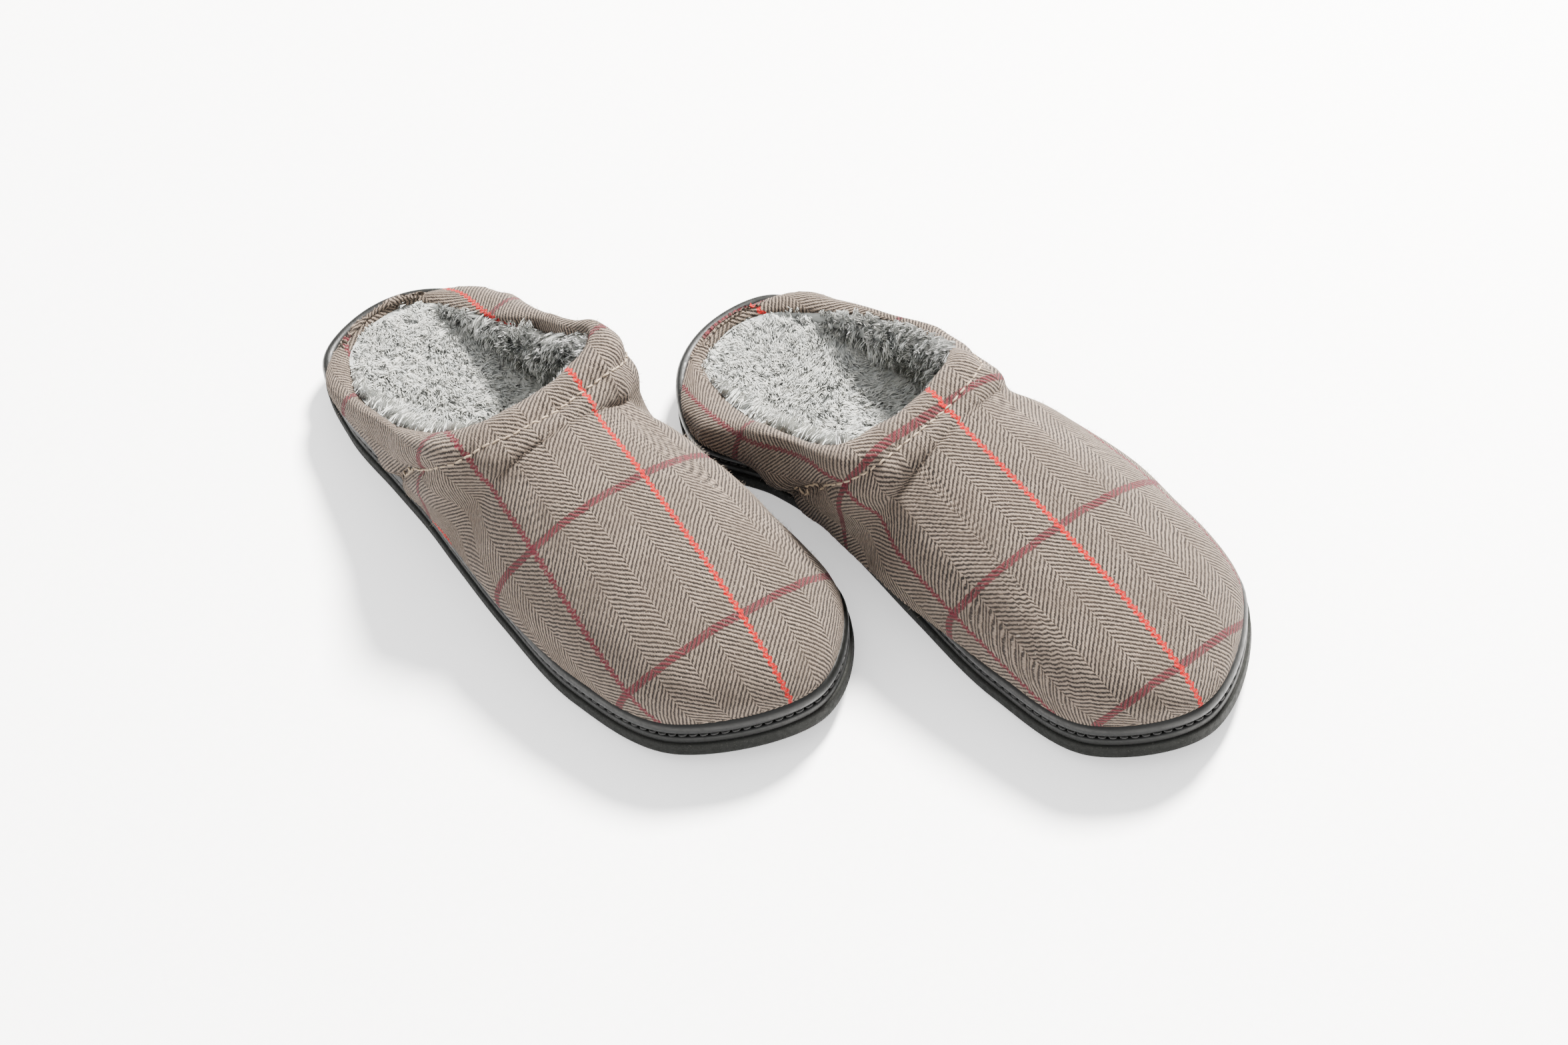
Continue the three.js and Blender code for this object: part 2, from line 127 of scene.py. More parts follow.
def soleOutline(count):
    length = pair['length']
    keys = [(0, 0, 0)] + [(-lateral, share * length, 0) for share, lateral, _ in sole['stations']]
    keys += [(sole['tip'], length, 0)]
    keys += [(medial, share * length, 0) for share, _, medial in sole['stations']][::-1]
    return splineThrough(keys, count)


def inwardOf(loop):
    tangent = unit(np.roll(loop, -1, axis=0) - np.roll(loop, 1, axis=0))
    return np.stack([tangent[:, 1], -tangent[:, 0], np.zeros(len(loop))], axis=1)


def springAt(s):
    # the sole curves up from the ball of the foot to the toe
    share = np.clip((s / pair['length'] - sole['springFrom']) / (1 - sole['springFrom']), 0, 1.2)
    return sole['spring'] * share * share


def halfWidths(s):
    # x of the sole edge on the outer and the inner side
    edge = soleOutline(1200)
    tip = int(np.argmax(edge[:, 1]))
    s = np.clip(s, 1, pair['length'] - 1)
    low = np.interp(s, edge[:tip + 1, 1], edge[:tip + 1, 0])
    high = np.interp(s, edge[:tip - 1:-1, 1], edge[:tip - 1:-1, 0])
    return low, high


edgeStations = np.linspace(0, pair['length'], 600)
edgeLow, edgeHigh = halfWidths(edgeStations)


def edgesAt(s):
    return np.interp(s, edgeStations, edgeLow), np.interp(s, edgeStations, edgeHigh)


def vampHeight(x, s, inset):
    facts = upper
    wallTop = facts['wallTop'] + springAt(s)
    share = np.clip((s - facts['ridgeFrom']) / (pair['length'] - inset - facts['ridgeFrom']), 0, 1)
    profile = (1 - share ** facts['ridgeFall']) ** (1 / facts['ridgeRound'])
    ridge = wallTop + (facts['vampTop'] - facts['wallTop']) * profile * facts['ridgeShare']
    low, high = edgesAt(s)
    middle = (low + high) / 2
    half = (high - low) / 2 - inset
    across = np.clip(np.abs(x - middle) / np.maximum(half, 1), 0, 1)
    fullness = np.where(x < middle, facts['lateralFullness'], facts['medialFullness'])
    return wallTop + (ridge - wallTop) * np.sqrt(1 - across ** fullness)


def makeSlices():
    # around the slipper: points on the sole edge, and where each slice meets the rim of the opening
    start = soleOutline(upper['slices'])
    keys = []
    for share, side, rise in upper['opening']:
        s = share * upper['throat']
        low, high = edgesAt(s)
        x = -side * low if side < 0 else side * high
        keys.append((x, s, lerp(upper['heelRim'], upper['throatRim'], rise)))
    rim = splineThrough(keys, upper['slices'])
    return start, inwardOf(start), rim, inwardOf(rim * [1, 1, 0])


def planPoint(piece, x):
    # plan point at a distance along a slice: from the bulge of the wall, bending to the opening
    way, length, overhang, inward, leave = piece
    share = (x - overhang) / length
    run = lengthsAlong(way)
    point = readAt(np.clip(share, 0, 1) * run[-1], run, way)
    point = point + inward * np.minimum(x - overhang, 0)[..., None]
    return point + leave * np.maximum(x - overhang - length, 0)[..., None]


def upperRows():
    # one row of points up each slice: wall or vamp, then the roll of the collar
    facts = upper
    start, inward, rim, leave = makeSlices()
    rows, info = [], []
    for i in range(len(start)):
        s = start[i, 1]
        arch = math.exp(-((s - facts['archAt']) / facts['archReach']) ** 2) if start[i, 0] > 0 else 0
        overhang = (facts['toeIn'] * smooth(s, *facts['toeStretch'])
                    + facts['heelIn'] * (1 - smooth(s, *facts['heelStretch']))
                    - facts['wallOut'] - facts['archOverhang'] * arch)
        bulge = start[i] + inward[i] * overhang
        end = rim[i] * [1, 1, 0]
        gap = np.linalg.norm(end - bulge)
        bend = bulge + inward[i] * min(facts['bendShare'] * gap, facts['bend'])
        k = np.linspace(0, 1, facts['wayPoints'])[:, None]
        way = (1 - k) ** 2 * bulge + 2 * k * (1 - k) * bend + k * k * end
        length = np.linalg.norm(np.diff(way, axis=0), axis=1).sum()
        reach = overhang + length
        vamp = smooth(length, *facts['vampLengths']) * smooth(s, *facts['vampStretch'])
        wallTop = facts['wallTop'] + springAt(s)
        low = wallTop + facts['hem'] + facts['archRise'] * max(0, -overhang)
        piece = (way, length, overhang, inward[i], leave[i])
        stitchX = reach - min(facts['rollWidth'], length)
        foot = planPoint(piece, np.array([stitchX]))[0]
        stitchZ = lerp(low, max(low, float(vampHeight(foot[0], foot[1], overhang)) - 1), vamp)
        crestX = lerp(stitchX, reach, facts['crestShare'])
        crestZ = max(rim[i, 2] + facts['crest'], stitchZ + facts['leastRoll'])
        wallShare = np.arange(facts['wallPoints']) / facts['wallPoints']
        wallX = overhang + (stitchX - overhang) * wallShare ** lerp(1, facts['wallBunch'], vamp)
        plan = planPoint(piece, wallX)
        dome = np.maximum(vampHeight(plan[:, 0], plan[:, 1], overhang), low)
        wallZ = lerp(lerp(low, stitchZ, wallShare), dome, vamp)
        angle = np.linspace(0, math.pi, facts['rollPoints'])
        rising = angle < math.pi / 2
        rollX = crestX - np.where(rising, crestX - stitchX, reach - crestX) * np.cos(angle)
        rollZ = lerp(np.where(rising, stitchZ, rim[i, 2]), crestZ, np.sin(angle))
        row = planPoint(piece, np.concatenate([wallX, rollX]))
        row[:, 2] = np.concatenate([wallZ, rollZ])
        tuck = [start[i] + inward[i] * lerp(inset, overhang, share) + [0, 0, wallTop + rise]
                for inset, rise, share in facts['tucked']]
        turned = planPoint(piece, np.array([reach + past for past, _ in facts['turnedIn']]))
        turned[:, 2] = [rim[i, 2] - drop for _, drop in facts['turnedIn']]
        row = np.vstack([tuck, row, turned])
        apart = np.linalg.norm(np.diff(row, axis=0), axis=1) > facts['leastStep']
        rows.append(row[np.concatenate([[True], apart])])
        info.append(dict(inward=inward[i], leave=leave[i], rim=rim[i], vamp=vamp, s=s))
    return rows, info


def evenedRound(rows, weight, passes):
    for _ in range(passes):
        middle = (np.roll(rows, 1, axis=0) + np.roll(rows, -1, axis=0)) / 2
        rows = rows + (middle - rows) * (0.5 * weight)[:, None, None]
    return rows


def toWorld(points, side):
    # one slipper's millimetres to the shared frame's metres; the left one is mirrored
    points = np.asarray(points, float)
    hand = 1 if side == 'right' else -1
    turn = -hand * pair['toeOut']
    backToFront = pair['stagger'] + pair['length'] * math.cos(pair['toeOut'])
    x, y = hand * points[..., 0], -points[..., 1]
    originX = -hand * pair['heelSpacing'] / 2
    originY = backToFront / 2 - (0 if side == 'right' else pair['stagger'])
    across = originX + x * math.cos(turn) - y * math.sin(turn)
    along = originY + x * math.sin(turn) + y * math.cos(turn)
    return np.stack([across, along, points[..., 2]], axis=-1) * 0.001


def gridFaces(rows, columns, closedRows=True, closedColumns=False):
    # four-sided faces between the points of a grid
    i = np.arange(rows if closedRows else rows - 1)
    j = np.arange(columns if closedColumns else columns - 1)
    i, j = np.meshgrid(i, j, indexing='ij')
    i, j = i.ravel(), j.ravel()
    k, m = (i + 1) % rows, (j + 1) % columns
    corners = ((i, j), (k, j), (k, m), (i, m))
    return np.stack([row * columns + column for row, column in corners], axis=1)


def link(name, data):
    thing = bpy.data.objects.new(name, data)
    bpy.context.scene.collection.objects.link(thing)
    return thing


def makePiece(name, side, points, faces, material, cloth=None, shadeNormals=None):
    # a mesh object; cloth gives millimetres of cloth, shadeNormals how pile catches the light
    vertices = toWorld(points.reshape(-1, 3), side)
    faces = np.asarray(faces, np.int32)
    a, b, c = (vertices[faces[:, k]] for k in range(3))
    if shadeNormals is None:
        if (np.cross(a, b) * c).sum() < 0:       # a closed piece turned inside out
            faces = faces[:, ::-1]
    else:
        shadeNormals = unit(toWorld(shadeNormals, side) - toWorld(np.zeros(3), side))
        wrong = (np.cross(b - a, c - a) * shadeNormals[faces[:, 0]]).sum(1) < 0
        faces[wrong] = faces[wrong][:, ::-1]
    mesh = bpy.data.meshes.new(side + '_' + name)
    mesh.vertices.add(len(vertices))
    mesh.vertices.foreach_set('co', vertices.astype(np.float32).ravel())
    mesh.loops.add(faces.size)
    mesh.loops.foreach_set('vertex_index', faces.ravel())
    mesh.polygons.add(len(faces))
    mesh.polygons.foreach_set('loop_start', np.arange(len(faces), dtype=np.int32) * faces.shape[1])
    mesh.polygons.foreach_set('use_smooth', np.full(len(faces), True))
    mesh.update(calc_edges=True)
    if cloth is not None:
        layer = mesh.uv_layers.new(name='cloth')
        corners = cloth.reshape(-1, 2)[faces.ravel()]
        layer.data.foreach_set('uv', corners.astype(np.float32).ravel())
    mesh.validate()
    if shadeNormals is not None:
        mesh.normals_split_custom_set_from_vertices(shadeNormals.tolist())
    mesh.materials.append(material)
    return link(side + '_' + name, mesh)


def gridNormals(grid):
    around = np.roll(grid, -1, axis=0) - np.roll(grid, 1, axis=0)
    along = np.gradient(grid, axis=1)
    return unit(np.cross(along, around))


def sweepEdge(profile, count):
    # a profile of (inset, height) points carried round the sole edge, lifted with the toe spring
    loop = soleOutline(count)
    inward = inwardOf(loop)
    lift = springAt(loop[:, 1])
    grid = np.empty((count, len(profile), 3))
    for j, (inset, height) in enumerate(profile):
        grid[:, j] = loop + inward * inset
        grid[:, j, 2] = height + lift
    return grid


class Nodes:
    # short way to add and join shader nodes
    def __init__(self, name):
        self.material = bpy.data.materials.new(name)
        self.material.use_nodes = True
        self.tree = self.material.node_tree
        self.shader = self.tree.nodes['Principled BSDF']

    def add(self, kind, inputs=None, **settings):
        node = self.tree.nodes.new('ShaderNode' + kind)
        for key, value in settings.items():
            setattr(node, key, value)
        for key, value in (inputs or {}).items():
            self.put(node.inputs[key], value)
        return node

    def put(self, socket, value):
        if isinstance(value, bpy.types.NodeSocket):
            self.tree.links.new(value, socket)
        else:
            socket.default_value = value

    def math(self, operation, a, b=0.0, c=0.0):
        return self.add('Math', {0: a, 1: b, 2: c}, operation=operation).outputs[0]

    def times(self, a, b):
        return self.math('MULTIPLY', a, b)

    def plus(self, a, b):
        return self.math('ADD', a, b)

    def mix(self, share, a, b):
        node = self.add('Mix', data_type='RGBA')
        self.put(node.inputs[0], share)
        self.put(node.inputs[6], a)
        self.put(node.inputs[7], b)
        return node.outputs[2]

    def ramp(self, value, low, high, toLow=0.0, toHigh=1.0):
        return self.add('MapRange', {0: value, 1: low, 2: high, 3: toLow, 4: toHigh},
                        interpolation_type='SMOOTHSTEP').outputs[0]

    def noise(self, scale, vector=None, detail=3.0, roughness=0.55):
        node = self.add('TexNoise', {'Scale': scale, 'Detail': detail, 'Roughness': roughness})
        if vector is not None:
            self.put(node.inputs['Vector'], vector)
        return node.outputs[0]

    def place(self):
        return self.add('TexCoord').outputs['Object']

    def surface(self, colour, roughness):
        self.put(self.shader.inputs['Base Color'], colour)
        self.put(self.shader.inputs['Roughness'], roughness)

    def fix(self, name, value):      # one value all over, set on the socket itself
        self.shader.inputs[name].default_value = value

    def bump(self, height, strength, distance):
        node = self.add('Bump', {'Strength': strength, 'Distance': distance, 'Height': height})
        self.put(self.shader.inputs['Normal'], node.outputs[0])


finish = dict(strength=0.62)     # the lights are bright, so every finish is mixed darker


def sRgb(r, g, b):
    linear = (((c / 255 + 0.055) / 1.055) ** 2.4 if c > 10 else c / 255 / 12.92 for c in (r, g, b))
    return tuple(c * finish['strength'] for c in linear) + (1.0,)


def darker(colour, share):
    return tuple(c * share for c in colour[:3]) + (1.0,)


tweedLook = dict(
    rib=1.5, bandWidth=12.5, thread=0.72, light=sRgb(150, 133, 118), dark=sRgb(36, 30, 26),
    shade=sRgb(80, 69, 60), fleck=sRgb(176, 164, 150), dot=sRgb(34, 29, 25),
    red=sRgb(190, 0, 6), burgundy=sRgb(98, 4, 32), redHalf=0.75, burgundyHalf=0.8, barHalf=1.3,
    pitchAcross=50.5, pitchAlong=68.0, jog=0.42, jogPitch=3.4, dashPitch=1.42)


def makeTweed(name):
    look = tweedLook
    n = Nodes(name)
    cloth = n.add('UVMap', uv_map='cloth').outputs[0]
    split = n.add('SeparateXYZ', {0: cloth})
    across, along = split.outputs[0], split.outputs[1]        # millimetres of cloth

    def centred(value, amount):      # a noise turned into a sway to both sides
        return n.times(n.math('SUBTRACT', value, 0.5), amount)

    def ripple(value, pitch):
        return n.math('SINE', n.times(value, 2 * math.pi / pitch))

    def fromLine(value, pitch, shift):       # distance to the nearest line of the check
        turned = n.math('FLOORED_MODULO', n.plus(value, shift), pitch)
        return n.math('ABSOLUTE', n.math('SUBTRACT', turned, pitch / 2))

    u = n.plus(across, centred(n.noise(0.5, cloth, 2.0), 0.5))
    v = n.plus(along, centred(n.noise(0.03, cloth, 2.0), 2.2))
    # herringbone: ribs at 45 degrees that turn back at each band
    zigzag = n.math('PINGPONG', u, look['bandWidth'])
    band = n.math('FLOOR', n.math('DIVIDE', u, look['bandWidth']))
    odd = n.times(n.math('FLOORED_MODULO', band, 2.0), 0.5)
    jitter = centred(n.noise(0.55, cloth, 3.0, 0.6), 0.5)
    ribPhase = n.math('DIVIDE', n.plus(v, zigzag), look['rib'] * 1.414)
    ribPhase = n.plus(ribPhase, n.plus(odd, jitter))
    rib = n.math('SINE', n.times(ribPhase, 2 * math.pi))
    # single threads, and fibres on them
    threads = n.plus(ripple(u, look['thread']), ripple(v, look['thread']))
    fibre = n.noise(3.2, cloth, 4.0, 0.7)
    stretched = n.add('Mapping', {'Vector': cloth, 'Scale': (1.6, 0.35, 1.0)}).outputs[0]
    height = n.plus(rib, centred(fibre, 1.7))
    height = n.plus(height, n.times(threads, 0.16))
    height = n.plus(height, centred(n.noise(1.0, stretched, 3.0, 0.6), 2.6))
    colour = n.mix(n.ramp(height, -0.95, 1.0), look['dark'], look['light'])
    colour = n.mix(n.ramp(n.noise(0.06, cloth, 3.0), 0.35, 0.7, 0.0, 0.32), colour, look['shade'])
    # pale flecks and dark dots spun into the yarn
    flecks = n.ramp(n.noise(1.1, cloth, 1.0, 0.4), 0.70, 0.76)
    colour = n.mix(n.times(flecks, 0.65), colour, look['fleck'])
    moved = n.add('Mapping', {'Vector': cloth, 'Location': (31, 17, 0)}).outputs[0]
    dots = n.ramp(n.noise(0.9, moved, 1.0, 0.4), 0.71, 0.77)
    colour = n.mix(n.times(dots, 0.6), colour, look['dot'])
    # burgundy bars across, broken by the ribs into slanted floats
    pitch = look['pitchAlong']
    bars = n.ramp(fromLine(v, pitch, pitch / 2), look['barHalf'] + 0.5, look['barHalf'])
    onTop = n.ramp(rib, -0.55, 0.25)
    bars = n.times(bars, n.math('MULTIPLY_ADD', onTop, 0.85, 0.15))
    colour = n.mix(n.times(bars, 0.88), colour, look['burgundy'])
    # lengthwise lines, red and burgundy by turns, wavering with the twill
    pitch = look['pitchAcross'] * 2
    side = n.plus(across, n.times(ripple(v, look['jogPitch']), look['jog']))
    dashes = n.math('MULTIPLY_ADD', n.ramp(ripple(v, look['dashPitch']), -0.8, 0.2), 0.45, 0.55)
    for tint, shift, share in (('red', pitch / 2, 1.0), ('burgundy', 0.0, 0.85)):
        half = look[tint + 'Half']
        line = n.times(n.ramp(fromLine(side, pitch, shift), half + 0.4, half), dashes)
        colour = n.mix(n.times(line, share), colour, look[tint])
    n.surface(colour, n.ramp(fibre, 0.2, 0.8, 0.82, 0.98))
    n.fix('Sheen Weight', 0.04)
    n.fix('Sheen Roughness', 0.6)
    n.fix('Specular IOR Level', 0.08)
    n.bump(height, 0.7, 0.0008)
    return n.material


rubberLook = dict(pale=sRgb(84, 84, 79), gloss=0.18, matt=0.1)


def makeRubber(name, base, roughness, speckle, grain):
    n = Nodes(name)
    at = n.place()
    cloud = n.noise(60.0, at, 3.0)
    fine = n.noise(1900.0, at, 2.0, 0.7)
    dust = n.noise(420.0, at, 2.0)
    colour = n.mix(n.ramp(cloud, 0.3, 0.7, 0.0, 0.35), base, darker(base, 1.5))
    colour = n.mix(n.ramp(fine, 0.60, 0.72, 0.0, speckle), colour, rubberLook['pale'])
    n.surface(colour, n.ramp(dust, 0.3, 0.75, roughness - 0.08, min(roughness + 0.1, 1.0)))
    n.fix('Specular IOR Level', rubberLook['gloss' if roughness < 0.6 else 'matt'])
    n.bump(n.plus(fine, n.times(cloud, 1.5)), grain, 0.0004)
    return n.material


def makeThread(name, base, twist):
    n = Nodes(name)
    strand = n.add('TexWave', {'Vector': n.place(), 'Scale': twist, 'Distortion': 2.0, 'Detail': 2.0},
                   wave_type='BANDS', bands_direction='DIAGONAL').outputs[1]
    n.surface(n.mix(strand, darker(base, 0.6), base), 0.8)
    n.bump(strand, 0.4, 0.0002)
    return n.material


def makeCore(name, base, cells, strength):
    # foam and board inside the padding
    n = Nodes(name)
    cell = n.add('TexVoronoi', {'Vector': n.place(), 'Scale': cells}).outputs[0]
    n.surface(n.mix(cell, base, darker(base, 0.7)), 0.95)
    n.bump(cell, strength, 0.0008)
    return n.material


# root is painted shade, the darkness deep in the pile where the tufts shade each other; tip, cool and
# warm are the fibres' own colours
plushLook = dict(root=sRgb(150, 153, 151), tip=sRgb(204, 206, 200), cool=sRgb(182, 186, 184),
                 warm=sRgb(206, 206, 198))


def makePile(name):
    # each tuft carries a chance number across and its height along, from root to tip
    look = plushLook
    n = Nodes(name)
    split = n.add('SeparateXYZ', {0: n.add('UVMap', uv_map='cloth').outputs[0]})
    chance, rise = split.outputs[0], split.outputs[1]
    colour = n.mix(n.ramp(chance, 0.0, 1.0), look['cool'], look['warm'])
    colour = n.mix(n.ramp(n.noise(55.0, n.place(), 2.0), 0.35, 0.65, 0.0, 0.3), colour, look['tip'])
    # painted shade: each blade darkens from tip to root, as the pile shades its own lower part
    colour = n.mix(n.ramp(rise, 0.0, 0.45), look['root'], colour)
    n.surface(colour, 0.75)
    n.fix('Sheen Weight', 0.3)
    n.fix('Specular IOR Level', 0.2)
    return n.material


cloth = dict(
    right=dict(line=(-0.124, 0.992), redAt=35.0, barAt=184.7),
    left=dict(line=(0.104, 0.9946), redAt=-16.9, barAt=140.5))

seam = dict(
    path=[(-43, 84, 20), (-42, 89, 27), (-42, 100, 40), (-41, 113, 51), (-31, 131, 66),
          (-17, 140, 71), (6, 143, 73), (27, 141, 71), (36, 137, 67), (43, 120, 52),
          (45, 104, 36), (43, 92, 22)],
    ends=175, depth=3.1, width=2.5, puff=1.6, puffAt=8.0, puffReach=5.5,
    pucker=0.35, puckerReach=5, crumple=1.2, crumpleReach=9, crumplePitch=14,
    pitch=4.4, stitch=3.5, thread=0.42, start=16.0)


def clothPlan(grid, info):
    # lays the upper out flat: distances run down each row from the crest of the collar
    step = np.diff(grid, axis=1)
    planStep = np.linalg.norm(step[:, :, :2], axis=2, keepdims=True)
    length = np.linalg.norm(step, axis=2, keepdims=True)
    inward = np.array([spot['inward'][:2] for spot in info])[:, None, :]
    share = np.clip(planStep / length / 0.25, 0, 1)     # steep cloth runs straight in
    heading = unit(step[:, :, :2] / np.maximum(planStep, 1e-6) * share + inward * (1 - share)) * length
    flat = np.zeros(grid.shape[:2] + (2,))
    crest = np.argmax(grid[:, :, 2], axis=1)
    for i, c in enumerate(crest):
        flat[i, c] = grid[i, c, :2]
        flat[i, c + 1:] = flat[i, c] + np.cumsum(heading[i, c:], axis=0)
        flat[i, :c] = flat[i, c] - np.cumsum(heading[i, :c][::-1], axis=0)[::-1]
    return flat


def turnCloth(flat, side):
    facts = cloth[side]
    a, b = facts['line']
    across = flat[..., 0] * b - flat[..., 1] * a - facts['redAt']
    along = flat[..., 0] * a + flat[..., 1] * b - facts['barAt']
    return np.stack([across, along], axis=-1)


def seamDistance(points):
    # how far each point lies from the topstitched seam, and how far along it
    path = splineThrough(seam['path'], 160, closed=False)
    length = lengthsAlong(path)
    flatPoints = points.reshape(-1, 3)
    best = np.full(len(flatPoints), 1e9)
    at = np.zeros(len(flatPoints))
    near = np.where(flatPoints[:, 1] < seam['ends'])[0]
    p = flatPoints[near]
    for k in range(len(path) - 1):
        a, b = path[k], path[k + 1]
        t = np.clip(((p - a) @ (b - a)) / np.dot(b - a, b - a), 0, 1)
        d = np.linalg.norm(p - a - t[:, None] * (b - a), axis=1)
        closer = d < best[near]
        best[near[closer]] = d[closer]
        at[near[closer]] = length[k] + t[closer] * (length[k + 1] - length[k])
    return best.reshape(points.shape[:-1]), at.reshape(points.shape[:-1])


def hump(value, at, reach):
    # 1 at its middle, falling away on both sides
    return np.exp(-((value - at) / reach) ** 2)


def outwardNormals(grid):
    normals = gridNormals(grid)
    top = grid[:, :, 2] > np.percentile(grid[:, :, 2], 80)
    return normals if normals[top][:, 2].mean() > 0 else -normals


def waves(points, seed, scale):
    # slow unevenness of padded cloth, a sum of a few sine waves in different directions
    chance = np.random.default_rng(seed)
    total = np.zeros(points.shape[:-1])
    for _ in range(7):
        direction = unit(chance.normal(size=3)) * 2 * math.pi / (scale * chance.uniform(0.7, 1.6))
        total += np.sin(points @ direction + chance.uniform(0, 6.28))
    return total / 7 ** 0.5


settle = dict(
    heelIn=6.6, heelStretch=(4, 34), innerIn=3.6, innerStretch=(32, 16), foreIn=-1.6,
    foreStretch=(120, 165), fullUp=4.2, fullOut=2.6, fullStretch=(79, 19),
    right=dict(up=3.4, out=1.5, stretch=(116, 19)), left=dict(up=-8.0, out=6.0, stretch=(116, 18)))


def settleUpper(grid, info, side):
    # the heel stands inside the sole edge, and the inner side of the collar is full
    facts = settle
    inward = np.array([spot['inward'] for spot in info])[:, None, :]
    crest = np.argmax(grid[:, :, 2], axis=1)
    k = np.arange(grid.shape[1])[None] / np.maximum(crest, 1)[:, None]      # 1 at the crest
    outerShare = 1 - smooth(k, 0.55, 1.25)
    s, x, z = grid[:, :1, 1], grid[:, :, 0], grid[:, :, 2]
    heel = facts['heelIn'] * (1 - smooth(s, *facts['heelStretch'])) * outerShare
    inner = facts['innerIn'] * hump(s, *facts['innerStretch']) * smooth(x, 15, 30) * outerShare
    fore = facts['foreIn'] * smooth(s, *facts['foreStretch']) * (1 - smooth(k, 0.15, 0.6))
    shift = (heel + inner) * smooth(z, 16, 19) + fore * smooth(z, 17, 21)
    grid = grid + inward * shift[..., None]
    full = hump(grid[:, :, 1], *facts['fullStretch'])
    full = full * smooth(grid[:, :, 0], 8, 22) * smooth(grid[:, :, 2], 20, 32)
    grid[:, :, 2] += facts['fullUp'] * full
    grid[:, :, 0] += facts['fullOut'] * full
    # the two collars were stuffed a little differently
    corner = facts[side]
    if side == 'right':
        there = smooth(grid[:, :, 0], 24, 38)
    else:
        there = smooth(-grid[:, :, 0], 20, 36) * smooth(k, 1.35, 0.75)
    there = hump(grid[:, :, 1], *corner['stretch']) * there * smooth(grid[:, :, 2], 36, 50)
    grid[:, :, 2] += corner['up'] * there
    grid[:, :, 0] += corner['out'] * there
    return grid


padding = dict(
    slow=0.45, slowPitch=48, quick=0.16, quickPitch=17, flatShare=0.10, thickness=1.2,
    hem=0.22, hemAt=20, hemReach=5, hemRipples=(150, 9, 23))


def padTweed(grid, seed):
    facts = padding
    normals = outwardNormals(grid)
    distance, at = seamDistance(grid)
    push = -seam['depth'] * hump(distance, 0, seam['width'])
    push += seam['puff'] * hump(distance, seam['puffAt'], seam['puffReach'])
    folds = np.cos(2 * math.pi * at / seam['pitch'])
    push += seam['pucker'] * np.exp(-distance / seam['puckerReach']) * folds
    crumple = np.exp(-distance / seam['crumpleReach']) * waves(grid, seed + 7, seam['crumplePitch'])
    push += seam['pucker'] * seam['crumple'] * crumple
    push += facts['slow'] * waves(grid, seed, facts['slowPitch'])
    push += facts['quick'] * waves(grid, seed + 1, facts['quickPitch'])
    # stays flat behind the binding
    tuck = smooth(np.arange(grid.shape[1]) / (grid.shape[1] - 1), 0.0, facts['flatShare'])
    padded = grid + normals * (push * tuck)[..., None]
    # hem puckers where the cloth goes under the binding
    round = 2 * math.pi * np.arange(grid.shape[0])[:, None] / grid.shape[0]
    low = hump(grid[:, :, 2], facts['hemAt'], facts['hemReach']) * facts['hem']
    fine, sway, fade = facts['hemRipples']
    ripple = np.sin(round * fine + 2 * np.sin(round * sway)) * np.sin(round * fade)
    return padded + normals * (low * ripple * tuck)[..., None]


def makeTweedUpper(side, grid, flat, material):
    outer = padTweed(grid, seeds[side]['padding'])
    inner = outer - outwardNormals(outer) * padding['thickness']
    tube = np.concatenate([outer, inner[:, ::-1]], axis=1)
    laid = turnCloth(np.concatenate([flat, flat[:, ::-1]], axis=1), side)
    faces = gridFaces(*tube.shape[:2], closedColumns=True)
    piece = makePiece('tweed_upper_cloth', side, tube, faces, material, laid)
    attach(piece, side + '_slipper')
    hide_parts(*(side + node for node in ('_tweed_upper', '_vamp_wadding', '_collar_roll')))
    return outer


def tubeAlong(path, radius, round=7):
    # a thread through the points, pinched at both ends
    tangent = unit(np.gradient(path, axis=0))
    sideways = unit(np.cross(tangent, [0.13, 0.21, 0.97]))
    up = np.cross(sideways, tangent)
    k = np.linspace(0, 1, len(path))
    thick = radius * np.sqrt(np.clip(1 - (2 * k - 1) ** 6, 0.04, 1))
    angle = (np.arange(round) / round * 2 * math.pi)[None, :, None]
    ring = np.cos(angle) * sideways[:, None] + np.sin(angle) * up[:, None]
    return asPart(path[:, None] + thick[:, None, None] * ring, closedRows=False, closedColumns=True)


def asPart(grid, **closed):
    return grid.reshape(-1, 3), gridFaces(*grid.shape[:2], **closed)


def joinParts(parts):
    points, faces, base = [], [], 0
    for p, f in parts:
        points.append(p)
        faces.append(f + base)
        base += len(p)
    return np.concatenate(points), np.concatenate(faces)


